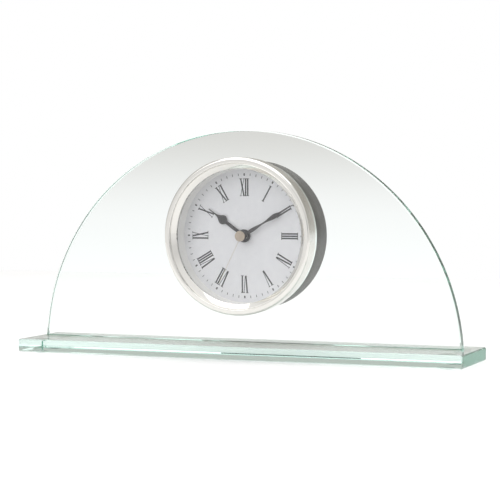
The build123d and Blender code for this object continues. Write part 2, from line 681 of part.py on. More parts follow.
BOARD_LEFT = -MOVEMENT_SIZE / 2 + MOVEMENT_WALL + CONTACT_THICKNESS
BOARD_RIGHT = -8.6
BOARD_BOTTOM = 15.4
BOARD_TOP = 25.8
BOARD_THICKNESS = 0.8
BOARD_FRONT = REAR_PLATE_Y
BOARD_CENTRE = ((BOARD_LEFT + BOARD_RIGHT) / 2, (BOARD_BOTTOM + BOARD_TOP) / 2)
CHIP_RADIUS = 2.4
CHIP_HEIGHT = 1.0
CRYSTAL_RADIUS = 1.0
CRYSTAL_LENGTH = 6.0

with BuildPart() as circuit_board:
    with BuildSketch(facing(BOARD_FRONT + BOARD_THICKNESS)):
        with Locations(BOARD_CENTRE):
            RectangleRounded(BOARD_RIGHT - BOARD_LEFT, BOARD_TOP - BOARD_BOTTOM, 0.8)
    extrude(amount=BOARD_THICKNESS)
save(circuit_board, "circuit_board")

with BuildPart() as timing_chip:
    disc(BOARD_FRONT - CHIP_HEIGHT, BOARD_FRONT, CHIP_RADIUS, centre=(BOARD_CENTRE[0] - 3.2, BOARD_CENTRE[1]))
    fillet(timing_chip.edges().filter_by(GeomType.CIRCLE).sort_by(Axis.Y)[0], CHIP_HEIGHT * 0.7)
save(timing_chip, "timing_chip")

crystal_foot = (BOARD_CENTRE[0] + 4.5, BOARD_FRONT - CRYSTAL_RADIUS, DIAL_Z + BOARD_CENTRE[1] - CRYSTAL_LENGTH / 2)

with BuildPart() as quartz_crystal:
    with BuildSketch(Plane(crystal_foot, x_dir=(1, 0, 0), z_dir=(0, 0, 1))):
        Circle(CRYSTAL_RADIUS)
    extrude(amount=CRYSTAL_LENGTH)
    fillet(quartz_crystal.edges().group_by(Axis.Z)[-1], 0.3)
save(quartz_crystal, "quartz_crystal")

# ---------------------------------------------------------------- battery and contacts
CELL_Y = (PLATE_BACK + MOVEMENT_BACK) / 2 + 0.6
CELL_NUB_RADIUS = 2.6
CELL_NUB_LENGTH = 1.2
CELL_LEFT = -BAY_HALF + CONTACT_THICKNESS

cell_plane = Plane((CELL_LEFT, CELL_Y, DIAL_Z - CELL_DROP), x_dir=(0, 1, 0), z_dir=(1, 0, 0))
SLEEVE_THICKNESS = 0.25

with BuildPart() as battery_cell:
    with BuildSketch(cell_plane):
        Circle(CELL_NUB_RADIUS)
    extrude(amount=CELL_NUB_LENGTH)
    with BuildSketch(cell_plane.offset(CELL_NUB_LENGTH)):
        Circle(CELL_DIAMETER / 2 - SLEEVE_THICKNESS)
    extrude(amount=CELL_LENGTH - CELL_NUB_LENGTH)
    fillet(battery_cell.edges().group_by(Axis.X)[-1], 0.6)
save(battery_cell, "battery_cell")

with BuildPart() as battery_sleeve:
    with BuildSketch(cell_plane.offset(CELL_NUB_LENGTH + 0.4)):
        Circle(CELL_DIAMETER / 2)
        Circle(CELL_DIAMETER / 2 - SLEEVE_THICKNESS, mode=Mode.SUBTRACT)
    extrude(amount=CELL_LENGTH - CELL_NUB_LENGTH - 1.4)
save(battery_sleeve, "battery_sleeve")

CONTACT_WIDTH = 8.0
SPRING_PITCH = 0.9
SPRING_WIRE = 0.3
SPRING_END_RADIUS = 2.6
SPRING_FOOT_RADIUS = 3.9
CELL_RIGHT = CELL_LEFT + CELL_LENGTH
SPRING_LENGTH = BAY_HALF - CONTACT_THICKNESS - CELL_RIGHT
NEGATIVE_TAIL_TOP = CAVITY_TOP - CAVITY_CORNER
NEGATIVE_LEAD_WIDTH = 0.7


def contact_strip(x, width, tail_top):
    """Contact pad on an end wall of the battery bay, with its tail up the side wall."""
    with BuildSketch(Plane((x, 0, DIAL_Z), x_dir=(0, 1, 0), z_dir=(1, 0, 0))) as strip:
        with Locations((CELL_Y, -CELL_DROP)):
            Rectangle(width, width)
        with Locations((TAIL_Y, (tail_top - CELL_DROP) / 2)):
            Rectangle(TAIL_WIDTH, tail_top + CELL_DROP)
    extrude(strip.sketch, amount=CONTACT_THICKNESS)


with BuildPart() as positive_contact:
    contact_strip(-BAY_HALF, CONTACT_WIDTH, BOARD_CENTRE[1])
save(positive_contact, "positive_contact")

with BuildPart() as negative_contact:
    contact_strip(BAY_HALF - CONTACT_THICKNESS, CONTACT_WIDTH + 2, NEGATIVE_TAIL_TOP)
    with BuildSketch(facing(TAIL_Y + CONTACT_THICKNESS)):
        with Locations(((BAY_HALF + BOARD_CENTRE[0]) / 2, NEGATIVE_TAIL_TOP - NEGATIVE_LEAD_WIDTH / 2)):
            Rectangle(BAY_HALF - BOARD_CENTRE[0], NEGATIVE_LEAD_WIDTH)
    extrude(amount=CONTACT_THICKNESS)
save(negative_contact, "negative_contact")

spring_foot = (BAY_HALF - CONTACT_THICKNESS - SPRING_WIRE, CELL_Y, DIAL_Z - CELL_DROP)
spring_taper = atan((SPRING_FOOT_RADIUS - SPRING_END_RADIUS) / SPRING_LENGTH)

with BuildPart() as battery_spring:
    with BuildLine() as spring_path:
        Helix(
            pitch=SPRING_PITCH,
            height=SPRING_LENGTH - 2 * SPRING_WIRE,
            radius=SPRING_FOOT_RADIUS,
            center=spring_foot,
            direction=(-1, 0, 0),
            cone_angle=-degrees(spring_taper),
        )
    with BuildSketch(Plane(spring_path.line @ 0, z_dir=spring_path.line % 0)):
        Circle(SPRING_WIRE)
    sweep()
save(battery_spring, "battery_spring")

# ---------------------------------------------------------------- gear train
with BuildPart() as rotor_magnet:
    disc(ROTOR_Y, ROTOR_Y + ROTOR_LENGTH, ROTOR_RADIUS, ROTOR_BORE, centre=ROTOR_AXIS)
save(rotor_magnet, "rotor_magnet")

with BuildPart() as rotor_pinion:
    gear(
        INTERMEDIATE_WHEEL_Y,
        ROTOR_TEETH,
        ROTOR_MODULE,
        mesh_phase(ROTOR_DIRECTION, INTERMEDIATE_TEETH, 0, ROTOR_TEETH),
        centre=ROTOR_AXIS,
    )
    disc(INTERMEDIATE_WHEEL_Y, ROTOR_Y + ROTOR_LENGTH, ROTOR_BORE, centre=ROTOR_AXIS)
    disc(INTERMEDIATE_WHEEL_Y, REAR_PLATE_Y + BRIDGE_THICKNESS, PIVOT, centre=ROTOR_AXIS)
save(rotor_pinion, "rotor_pinion")

with BuildPart() as intermediate_wheel:
    gear(INTERMEDIATE_WHEEL_Y, INTERMEDIATE_TEETH, ROTOR_MODULE, 0, centre=INTERMEDIATE_AXIS)
    crossings(INTERMEDIATE_WHEEL_Y, 1.6, 4.0, 5, centre=INTERMEDIATE_AXIS)
    gear(
        SECONDS_WHEEL_Y,
        INTERMEDIATE_PINION,
        TRAIN_MODULE,
        mesh_phase(INTERMEDIATE_DIRECTION, SECONDS_TEETH, 0, INTERMEDIATE_PINION),
        centre=INTERMEDIATE_AXIS,
        thickness=INTERMEDIATE_WHEEL_Y - SECONDS_WHEEL_Y,
    )
    disc(MID_PLATE_Y, REAR_PLATE_Y + BRIDGE_THICKNESS, PIVOT, centre=INTERMEDIATE_AXIS)
save(intermediate_wheel, "intermediate_wheel")

with BuildPart() as seconds_wheel:
    gear(SECONDS_WHEEL_Y, SECONDS_TEETH, TRAIN_MODULE, 0)
    crossings(SECONDS_WHEEL_Y, 1.8, 4.2, 5)
    gear(THIRD_WHEEL_Y, SECONDS_PINION, TRAIN_MODULE, 0, thickness=SECONDS_WHEEL_Y - THIRD_WHEEL_Y)
    disc(DIAL_Y - CAP_HEIGHT, REAR_PLATE_Y, SECONDS_ARBOR)
    disc(REAR_PLATE_Y, REAR_PLATE_Y + BRIDGE_THICKNESS, PIVOT)
save(seconds_wheel, "seconds_wheel")

with BuildPart() as third_wheel:
    gear(
        THIRD_WHEEL_Y,
        THIRD_TEETH,
        TRAIN_MODULE,
        mesh_phase(THIRD_DIRECTION, SECONDS_PINION, 0, THIRD_TEETH),
        centre=THIRD_AXIS,
    )
    crossings(THIRD_WHEEL_Y, 2.0, 6.4, 5, centre=THIRD_AXIS)
    gear(
        CENTRE_WHEEL_Y,
        THIRD_PINION,
        CENTRE_MODULE,
        mesh_phase(THIRD_DIRECTION, CENTRE_TEETH, 0, THIRD_PINION),
        centre=THIRD_AXIS,
        thickness=THIRD_WHEEL_Y - CENTRE_WHEEL_Y,
    )
    disc(PLATE_BACK - 0.9, REAR_PLATE_Y + BRIDGE_THICKNESS, PIVOT, centre=THIRD_AXIS)
save(third_wheel, "third_wheel")

with BuildPart() as centre_wheel:
    gear(CENTRE_WHEEL_Y, CENTRE_TEETH, CENTRE_MODULE, 0)
    crossings(CENTRE_WHEEL_Y, 2.6, 6.4, 5)
    disc(
        CENTRE_WHEEL_Y,
        CENTRE_WHEEL_Y + WHEEL_THICKNESS,
        MINUTE_PIPE + RUNNING_CLEARANCE,
        mode=Mode.SUBTRACT,
    )
save(centre_wheel, "centre_wheel")

CLUTCH_Y = CENTRE_WHEEL_Y + WHEEL_THICKNESS
CLUTCH_THICKNESS = 0.25

with BuildPart() as clutch_spring:
    with BuildSketch(facing(CLUTCH_Y + CLUTCH_THICKNESS)):
        Circle(2.5)
        with PolarLocations(2.4, 3):
            Rectangle(2.4, 1.2)
        Circle(MINUTE_PIPE, mode=Mode.SUBTRACT)
    extrude(amount=CLUTCH_THICKNESS)
save(clutch_spring, "clutch_spring")

with BuildPart() as minute_pipe:
    disc(DIAL_Y - MINUTE_HAND_HEIGHT - HAND_THICKNESS - 0.4, CLUTCH_Y + CLUTCH_THICKNESS, MINUTE_PIPE)
    gear(MINUTE_WHEEL_Y, MINUTE_PINION, MOTION_MODULE, 0)
    disc(
        DIAL_Y - MINUTE_HAND_HEIGHT - HAND_THICKNESS - 0.4,
        CLUTCH_Y + CLUTCH_THICKNESS,
        SECONDS_ARBOR + RUNNING_CLEARANCE,
        mode=Mode.SUBTRACT,
    )
save(minute_pipe, "minute_pipe")

MINUTE_WHEEL_PHASE = mesh_phase(MINUTE_DIRECTION, MINUTE_PINION, 0, MINUTE_TEETH)

with BuildPart() as minute_wheel:
    gear(MINUTE_WHEEL_Y, MINUTE_TEETH, MOTION_MODULE, MINUTE_WHEEL_PHASE, centre=MINUTE_AXIS)
    gear(
        HOUR_WHEEL_Y,
        HOUR_PINION,
        HOUR_MODULE,
        mesh_phase(MINUTE_DIRECTION, HOUR_TEETH, 0, HOUR_PINION),
        centre=MINUTE_AXIS,
        thickness=MINUTE_WHEEL_Y - HOUR_WHEEL_Y,
    )
    disc(
        HOUR_WHEEL_Y,
        MINUTE_WHEEL_Y + WHEEL_THICKNESS,
        STUD + RUNNING_CLEARANCE,
        centre=MINUTE_AXIS,
        mode=Mode.SUBTRACT,
    )
save(minute_wheel, "minute_wheel")

with BuildPart() as hour_wheel:
    gear(HOUR_WHEEL_Y, HOUR_TEETH, HOUR_MODULE, 0)
    disc(DIAL_Y - HOUR_HAND_HEIGHT - HAND_THICKNESS - 0.3, HOUR_WHEEL_Y, HOUR_PIPE)
    disc(
        DIAL_Y - HOUR_HAND_HEIGHT - HAND_THICKNESS - 0.3,
        HOUR_WHEEL_Y + WHEEL_THICKNESS,
        MINUTE_PIPE + RUNNING_CLEARANCE,
        mode=Mode.SUBTRACT,
    )
save(hour_wheel, "hour_wheel")

KNOB_FRONT = MOVEMENT_BACK + 0.3
KNOB_BACK = BARREL_BACK_Y - 0.4
KNOB_RADIUS = 5.0
KNOB_RIBS = 24

with BuildPart() as setting_gear:
    gear(
        MINUTE_WHEEL_Y,
        SETTING_TEETH,
        MOTION_MODULE,
        mesh_phase(SETTING_DIRECTION, MINUTE_TEETH, MINUTE_WHEEL_PHASE, SETTING_TEETH),
        centre=SETTING_AXIS,
    )
    disc(MINUTE_WHEEL_Y, KNOB_BACK - 1.0, SETTING_SHAFT, centre=SETTING_AXIS)
    disc(PLATE_BACK - 0.9, MINUTE_WHEEL_Y, PIVOT, centre=SETTING_AXIS)
save(setting_gear, "setting_gear")

with BuildPart() as setting_knob:
    disc(KNOB_FRONT, KNOB_BACK, KNOB_RADIUS, centre=SETTING_AXIS)
    fillet(setting_knob.edges().filter_by(GeomType.CIRCLE).sort_by(Axis.Y)[-1], 0.5)
    with BuildSketch(facing(KNOB_BACK, SETTING_AXIS)):
        with PolarLocations(KNOB_RADIUS, KNOB_RIBS):
            Circle(0.3)
    extrude(amount=KNOB_BACK - KNOB_FRONT, mode=Mode.SUBTRACT)
    disc(KNOB_FRONT, KNOB_BACK - 1.0, SETTING_SHAFT, centre=SETTING_AXIS, mode=Mode.SUBTRACT)
save(setting_knob, "setting_knob")
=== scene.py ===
"""Looks of the half-round glass mantel clock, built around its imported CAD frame."""
import math

import bmesh
import bpy
from mathutils import Matrix, Vector


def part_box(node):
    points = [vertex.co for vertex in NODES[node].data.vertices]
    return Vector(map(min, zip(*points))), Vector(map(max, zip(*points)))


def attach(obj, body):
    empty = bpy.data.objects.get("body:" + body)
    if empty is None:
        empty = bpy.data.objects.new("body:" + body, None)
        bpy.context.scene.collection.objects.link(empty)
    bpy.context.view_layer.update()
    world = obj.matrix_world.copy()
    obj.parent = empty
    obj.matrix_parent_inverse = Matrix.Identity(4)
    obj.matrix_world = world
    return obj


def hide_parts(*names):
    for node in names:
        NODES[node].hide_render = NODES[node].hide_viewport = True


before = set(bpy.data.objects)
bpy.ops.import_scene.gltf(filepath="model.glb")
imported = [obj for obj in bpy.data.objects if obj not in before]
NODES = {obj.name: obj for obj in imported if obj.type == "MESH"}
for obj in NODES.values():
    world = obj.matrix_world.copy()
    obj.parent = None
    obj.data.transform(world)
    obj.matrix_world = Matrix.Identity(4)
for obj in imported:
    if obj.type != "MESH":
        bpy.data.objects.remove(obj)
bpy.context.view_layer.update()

MM = 0.001


def centre_of(node):
    """Middle of a CAD node's box."""
    low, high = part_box(node)
    return (low + high) / 2


DIAL_CENTRE = centre_of("dial")
DIAL_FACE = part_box("dial")[0].y

# ------------------------------------------------------------------ mesh helpers

# The most of an outline's side that the arc at one of its corners may take.
CORNER_SHARE = 0.49
SAME_POINT = 1e-7


def link_mesh(name, mesh, body, material, replaced=()):
    """Makes an object of a mesh, gives it its material and lets it ride on a body."""
    piece = bpy.data.objects.new(name, mesh)
    bpy.context.scene.collection.objects.link(piece)
    mesh.materials.append(material)
    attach(piece, body)
    if replaced:
        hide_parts(*replaced)
    return piece


def shade(mesh, sharp_degrees=32.0):
    """Smooth shading that stays crisp over edges sharper than an angle."""
    for polygon in mesh.polygons:
        polygon.use_smooth = True
    mesh.set_sharp_from_angle(angle=math.radians(sharp_degrees))


def rounded_outline(corners, steps):
    """Closed outline with each corner (x, y, radius) turned into an arc of its own radius."""
    outline = []
    count = len(corners)
    for index, (x, y, radius) in enumerate(corners):
        corner = Vector((x, y))
        if radius <= 0:
            outline.append(corner)
            continue
        before = Vector(corners[index - 1][:2]) - corner
        after = Vector(corners[(index + 1) % count][:2]) - corner
        half_angle = before.angle(after) / 2
        reach = min(
            radius / math.tan(half_angle),
            before.length * CORNER_SHARE,
            after.length * CORNER_SHARE,
        )
        radius = reach * math.tan(half_angle)
        bisector = (before.normalized() + after.normalized()).normalized()
        middle = corner + bisector * (radius / math.sin(half_angle))
        start = corner + before.normalized() * reach - middle
        end = corner + after.normalized() * reach - middle
        sweep = start.angle_signed(end)
        for step in range(steps + 1):
            outline.append(middle + Matrix.Rotation(-sweep * step / steps, 2) @ start)
    return outline


def lathe(outline, centre, sides):
    """Mesh of a closed (radius, y) outline turned about a front-to-back axis, in metres."""
    mesh = bpy.data.meshes.new("turned")
    work = bmesh.new()
    rings = []
    for side in range(sides):
        angle = 2 * math.pi * side / sides
        ring = []
        for radius, depth in outline:
            x = centre.x + radius * math.cos(angle)
            z = centre.z + radius * math.sin(angle)
            ring.append(work.verts.new((x, depth, z)))
        rings.append(ring)
    for side in range(sides):
        ring = rings[side]
        following = rings[(side + 1) % sides]
        for index in range(len(outline)):
            after = (index + 1) % len(outline)
            work.faces.new((ring[index], ring[after], following[after], following[index]))
    bmesh.ops.remove_doubles(work, verts=work.verts, dist=SAME_POINT)
    bmesh.ops.recalc_face_normals(work, faces=work.faces)
    work.to_mesh(mesh)
    work.free()
    shade(mesh)
    return mesh


def prisms(polygons, front, back):
    """Mesh of flat (x, z) polygons carried from one depth to another, in metres."""
    mesh = bpy.data.meshes.new("prisms")
    work = bmesh.new()
    for polygon in polygons:
        near = [work.verts.new((x, front, z)) for x, z in polygon]
        far = [work.verts.new((x, back, z)) for x, z in polygon]
        work.faces.new(near)
        work.faces.new(far[::-1])
        for index in range(len(polygon)):
            after = (index + 1) % len(polygon)
            work.faces.new((near[index], far[index], far[after], near[after]))
    bmesh.ops.recalc_face_normals(work, faces=work.faces)
    work.to_mesh(mesh)
    work.free()
    return mesh


# ------------------------------------------------------------------ material helpers


def fill_ramp(ramp, stops):
    """Sets a colour ramp's stops, each a (place, (r, g, b)) with the place from 0 to 1."""
    points = ramp.color_ramp.elements
    while len(points) < len(stops):
        points.new(0.5)
    for point, (place, colour) in zip(points, stops):
        point.position = place
        point.color = (*colour, 1.0)


class Material:
    """A node material with one Principled shader and short calls to feed its sockets.

    The colour and roughness given at the start stay on the sockets as plain values, and a
    texture linked later takes their place in the render.
    """

    def __init__(self, name, colour, roughness, metallic=0.0, **sockets):
        self.data = bpy.data.materials.new(name)
        self.data.use_nodes = True
        self.tree = self.data.node_tree
        self.shader = self.tree.nodes["Principled BSDF"]
        self.output = self.tree.nodes["Material Output"]
        self.set("Base Color", (*colour, 1.0))
        self.set("Roughness", roughness)
        self.set("Metallic", metallic)
        for socket, value in sockets.items():
            self.set(socket.replace("_", " "), value)

    def set(self, socket, value):
        """Puts a plain value on one of the shader's sockets."""
        self.shader.inputs[socket].default_value = value

    def node(self, kind, **values):
        """New node with some of its sockets or properties set."""
        node = self.tree.nodes.new(kind)
        for key, value in values.items():
            if hasattr(node, key):
                setattr(node, key, value)
            else:
                node.inputs[key.replace("_", " ")].default_value = value
        return node

    def link(self, source, target):
        """Joins two sockets."""
        self.tree.links.new(source, target)

    def position(self):
        """Place on the object in metres: the row's frame at rest, riding along in a pose."""
        return self.node("ShaderNodeTexCoord").outputs["Object"]

    def noise(self, scale, detail, stretch=(1.0, 1.0, 1.0), origin=(0.0, 0.0, 0.0)):
        """Noise over the object; stretch scales each axis and origin moves its zero."""
        mapping = self.node("ShaderNodeMapping")
        shift = [-start * scaling for start, scaling in zip(origin, stretch)]
        mapping.inputs["Location"].default_value = shift
        mapping.inputs["Scale"].default_value = stretch
        self.link(self.position(), mapping.inputs["Vector"])
        noise = self.node("ShaderNodeTexNoise", Scale=scale, Detail=detail)
        self.link(mapping.outputs["Vector"], noise.inputs["Vector"])
        return noise.outputs["Fac"]

    def spread(self, factor, low, high):
        """Maps a 0 to 1 factor onto a range of values."""
        spread = self.node("ShaderNodeMapRange", To_Min=low, To_Max=high)
        self.link(factor, spread.inputs["Value"])
        return spread.outputs["Result"]

    def vary_roughness(self, factor, low, high):
        """Roughness that follows a 0 to 1 factor."""
        self.link(self.spread(factor, low, high), self.shader.inputs["Roughness"])
        return self

    def vary_colour(self, factor, stops):
        """Colours along a factor; stops are (place, (r, g, b))."""
        ramp = self.node("ShaderNodeValToRGB")
        fill_ramp(ramp, stops)
        self.link(factor, ramp.inputs["Fac"])
        self.link(ramp.outputs["Color"], self.shader.inputs["Base Color"])
        return self

    def bump(self, height, strength, distance):
        """Small relief in the shading only."""
        bump = self.node("ShaderNodeBump", Strength=strength, Distance=distance)
        self.link(height, bump.inputs["Height"])
        self.link(bump.outputs["Normal"], self.shader.inputs["Normal"])
        return self

    def let_lamps_through(self):
        """Lamps reach what is behind this glass without being bent by it."""
        rays = self.node("ShaderNodeLightPath")
        clear = self.node("ShaderNodeBsdfTransparent")
        mix = self.node("ShaderNodeMixShader")
        self.link(rays.outputs["Is Shadow Ray"], mix.inputs["Fac"])
        self.link(self.shader.outputs["BSDF"], mix.inputs[1])
        self.link(clear.outputs["BSDF"], mix.inputs[2])
        self.link(mix.outputs["Shader"], self.output.inputs["Surface"])
        return self

    def absorb(self, colour, density):
        """Colour that deepens with the length of the way through the body of the glass."""
        volume = self.node("ShaderNodeVolumeAbsorption")
        volume.inputs["Color"].default_value = (*colour, 1.0)
        volume.inputs["Density"].default_value = density
        self.link(volume.outputs["Volume"], self.output.inputs["Volume"])
        return self


# ------------------------------------------------------------------ materials

FLOAT_GREEN = (0.0, 0.56, 0.40)
FLOAT_DENSITY = 5.0
FACE_TINT = (0.99, 1.0, 0.995)
EDGE_TINT = (0.84, 0.93, 0.89)


def float_glass(name, axis, clear, ground, edge_roughness):
    """Green float glass with clear faces and fine-ground ones.

    A face is told by how far its normal lies along an axis: clear and ground are that
    share, from 0 to 1, where a face is wholly the one or the other.
    """
    glass = Material(name, FACE_TINT, 0.0, Transmission_Weight=1.0, IOR=1.52)
    geometry = glass.node("ShaderNodeNewGeometry")
    split = glass.node("ShaderNodeSeparateXYZ")
    glass.link(geometry.outputs["True Normal"], split.inputs["Vector"])
    facing = glass.node("ShaderNodeMath", operation="ABSOLUTE")
    glass.link(split.outputs[axis], facing.inputs[0])
    edge = glass.node("ShaderNodeMapRange", From_Min=clear, From_Max=ground)
    glass.link(facing.outputs["Value"], edge.inputs["Value"])
    glass.vary_colour(edge.outputs["Result"], [(0.0, FACE_TINT), (1.0, EDGE_TINT)])
    glass.vary_roughness(edge.outputs["Result"], 0.0, edge_roughness)
    glass.bump(glass.noise(scale=9.0, detail=1.0), strength=0.02, distance=0.0005)
    return glass.let_lamps_through().absorb(FLOAT_GREEN, FLOAT_DENSITY)


def lens_glass():
    """Thin clear glass over the dial, faintly uneven."""
    glass = Material("lens_glass", (0.99, 0.995, 0.995), 0.0, Transmission_Weight=1.0, IOR=1.5)
    glass.vary_roughness(glass.noise(scale=60.0, detail=2.0), 0.0, 0.01)
    return glass.let_lamps_through()


def chrome():
    """Bright plating of the bezel, with slight wear."""
    plate = Material("chrome", (0.76, 0.745, 0.71), 0.05, metallic=1.0)
    wear = plate.noise(scale=55.0, detail=4.0)
    plate.vary_roughness(wear, 0.03, 0.09)
    return plate.bump(plate.noise(scale=420.0, detail=2.0), strength=0.015, distance=0.0001)


def silvered_plastic():
    """Satin silver coat of the ring round the dial."""
    plastic = Material("silvered_plastic", (0.93, 0.92, 0.89), 0.36, metallic=0.35)
    plastic.vary_roughness(plastic.noise(scale=90.0, detail=3.0), 0.32, 0.40)
    grain = plastic.noise(scale=900.0, detail=2.0, stretch=(1.0, 6.0, 1.0))
    return plastic.bump(grain, strength=0.03, distance=0.0001)


def satin_dial():
    """Silver-white paint of the dial."""
    dial = Material("satin_dial", (0.78, 0.78, 0.80), 0.42, metallic=0.15)
    grain = dial.noise(scale=240.0, detail=4.0, origin=DIAL_CENTRE)
    dial.vary_colour(grain, [(0.3, (0.76, 0.76, 0.785)), (0.7, (0.80, 0.80, 0.82))])
    dial.vary_roughness(grain, 0.36, 0.48)
    return dial.bump(dial.noise(scale=1600.0, detail=2.0), strength=0.04, distance=0.00005)


def lacquer(name, dark, light, roughness):
    """Thin paint on stamped metal, with a little unevenness."""
    paint = Material(name, light, roughness)
    cloud = paint.noise(scale=300.0, detail=3.0)
    paint.vary_colour(cloud, [(0.3, dark), (0.7, light)])
    paint.vary_roughness(cloud, roughness * 0.85, roughness * 1.15)
    return paint.bump(paint.noise(scale=2200.0, detail=2.0), strength=0.05, distance=0.00003)


def moulded(name, dark, light, roughness, grain=900.0):
    """Moulded plastic with a fine spark-eroded texture."""
    plastic = Material(name, light, roughness)
    cloud = plastic.noise(scale=35.0, detail=3.0)
    plastic.vary_colour(cloud, [(0.3, dark), (0.7, light)])
    plastic.vary_roughness(plastic.noise(scale=120.0, detail=2.0), roughness - 0.06, roughness + 0.06)
    return plastic.bump(plastic.noise(scale=grain, detail=3.0), strength=0.12, distance=0.00006)


def metal(name, colour, roughness, stretch=(1.0, 1.0, 1.0)):
    """Plain metal; its grain runs long on an axis whose stretch is below 1."""
    sheet = Material(name, colour, roughness, metallic=1.0)
    grain = sheet.noise(scale=400.0, detail=4.0, stretch=stretch)
    darker = tuple(part * 0.85 for part in colour)
    sheet.vary_colour(grain, [(0.3, darker), (0.7, colour)])
    sheet.vary_roughness(grain, roughness * 0.8, roughness * 1.3)
    return sheet.bump(grain, strength=0.05, distance=0.00004)


def clear_rubber():
    """Soft see-through rubber of the bumpers, the gasket and the grip sleeve."""
    rubber = Material("clear_rubber", (0.86, 0.93, 0.90), 0.18, Transmission_Weight=0.8, IOR=1.45)
    rubber.vary_roughness(rubber.noise(scale=150.0, detail=2.0), 0.12, 0.26)
    return rubber.let_lamps_through()


def wound_wire():
    """Enamelled wire laid in turns across the coil, with painted shade in the grooves between turns."""
    wire = Material("wound_wire", (0.55, 0.20, 0.06), 0.3, metallic=0.8, Coat_Weight=0.6)
    turns = wire.node("ShaderNodeTexWave", Scale=1500.0, Distortion=0.6)
    wire.link(wire.position(), turns.inputs["Vector"])
    # Painted shade: the colour darkens where the turns dip into the grooves between them and lightens
    # on their crowns.
    wire.vary_colour(turns.outputs["Fac"], [(0.2, (0.22, 0.06, 0.02)), (0.7, (0.62, 0.25, 0.09))])
    return wire.bump(turns.outputs["Fac"], strength=0.5, distance=0.0001)


def cell_wrap():
    """Plain battery sleeve in two colour bands, with no mark on it."""
    low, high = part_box("battery_sleeve")
    wrap = Material("cell_wrap", (0.05, 0.10, 0.08), 0.28, Coat_Weight=0.5)
    split = wrap.node("ShaderNodeSeparateXYZ")
    wrap.link(wrap.position(), split.inputs["Vector"])
    along = wrap.node("ShaderNodeMapRange", From_Min=low.x, From_Max=high.x)
    wrap.link(split.outputs["X"], along.inputs["Value"])
    copper = (0.45, 0.20, 0.08)
    black = (0.025, 0.027, 0.03)
    wrap.vary_colour(along.outputs["Result"], [(0.30, copper), (0.305, black)])
    return wrap.bump(wrap.noise(scale=500.0, detail=2.0), strength=0.05, distance=0.00005)


PANEL_GLASS = float_glass("panel_glass", "Y", clear=0.95, ground=0.85, edge_roughness=0.06)
BASE_GLASS = float_glass("slab_glass", "X", clear=0.5, ground=0.9, edge_roughness=0.15)
LENS_GLASS = lens_glass()
CHROME = chrome()
SILVERED = silvered_plastic()
DIAL = satin_dial()
BLACK = lacquer("black_lacquer", (0.022, 0.020, 0.022), (0.032, 0.030, 0.032), 0.34)
INK = lacquer("dial_ink", (0.018, 0.018, 0.022), (0.028, 0.028, 0.032), 0.5)
CHAMPAGNE = lacquer("champagne", (0.41, 0.335, 0.265), (0.48, 0.40, 0.32), 0.4)
PALE_GOLD = lacquer("pale_gold", (0.62, 0.56, 0.48), (0.70, 0.65, 0.57), 0.35)
CASE = moulded("case_grey", (0.072, 0.069, 0.065), (0.090, 0.087, 0.082), 0.45)
MOVEMENT = moulded("movement_black", (0.022, 0.022, 0.024), (0.034, 0.034, 0.036), 0.5)
NATURAL = moulded("natural_plastic", (0.66, 0.65, 0.59), (0.74, 0.73, 0.67), 0.4)
WHEEL = moulded("acetal", (0.76, 0.75, 0.70), (0.84, 0.83, 0.78), 0.3)
STEEL = metal("steel", (0.60, 0.60, 0.59), 0.28, (0.1, 1.0, 1.0))
IRON = metal("motor_iron", (0.36, 0.35, 0.34), 0.42, (0.1, 1.0, 1.0))
MAGNET = metal("magnet", (0.16, 0.16, 0.17), 0.35)
BRASS = metal("brass", (0.78, 0.58, 0.30), 0.22)
CONTACT = metal("contact_strip", (0.72, 0.68, 0.56), 0.25, (1.0, 1.0, 0.1))
RUBBER = clear_rubber()
COPPER = wound_wire()
BOARD = moulded("board", (0.16, 0.09, 0.03), (0.22, 0.13, 0.05), 0.35, grain=300.0)
EPOXY = moulded("epoxy", (0.012, 0.012, 0.013), (0.02, 0.02, 0.022), 0.25, grain=200.0)
WRAP = cell_wrap()

NODE_MATERIALS = {
    BASE_GLASS: ["base_glass"],
    RUBBER: ["base_pads", "lens_gasket", "grip_sleeve"],
    LENS_GLASS: ["lens"],
    DIAL: ["dial"],
    CASE: ["barrel_case", "dial_support"],
    BLACK: ["hour_hand", "minute_hand"],
    CHAMPAGNE: ["second_hand_cap"],
    PALE_GOLD: ["second_hand"],
    MOVEMENT: ["movement_front_plate", "movement_back_case", "setting_knob"],
    NATURAL: ["middle_bridge", "rear_bridge", "coil_bobbin"],
    WHEEL: [
        "rotor_pinion", "intermediate_wheel", "seconds_wheel", "third_wheel", "centre_wheel",
        "minute_wheel", "hour_wheel", "setting_gear",
    ],
    STEEL: ["movement_screws", "quartz_crystal", "battery_cell", "battery_spring"],
    IRON: ["stator_plate", "coil_core"],
    MAGNET: ["rotor_magnet"],
    BRASS: ["minute_pipe"],
    CONTACT: ["clutch_spring", "positive_contact", "negative_contact"],
    COPPER: ["coil_winding"],
    BOARD: ["circuit_board"],
    EPOXY: ["timing_chip"],
    WRAP: ["battery_sleeve"],
}


def dress_cad_nodes():
    """Gives each CAD node that stays its own finish."""
    for material, names in NODE_MATERIALS.items():
        for name in names:
            mesh = NODES[name].data
            mesh.materials.clear()
            mesh.materials.append(material.data)


# ------------------------------------------------------------------ glass and case pieces

PANEL_ARRIS = 0.7 * MM
HOLE_CLEARANCE = 0.5 * MM
HOLE_FRONT_ARRIS = 0.3 * MM
HOLE_BACK_ARRIS = 0.9 * MM
# Fine steps, so that the rim doesn't break into dashes.
ARC_STEPS = 720
PANEL_SHARP_DEGREES = 20.0

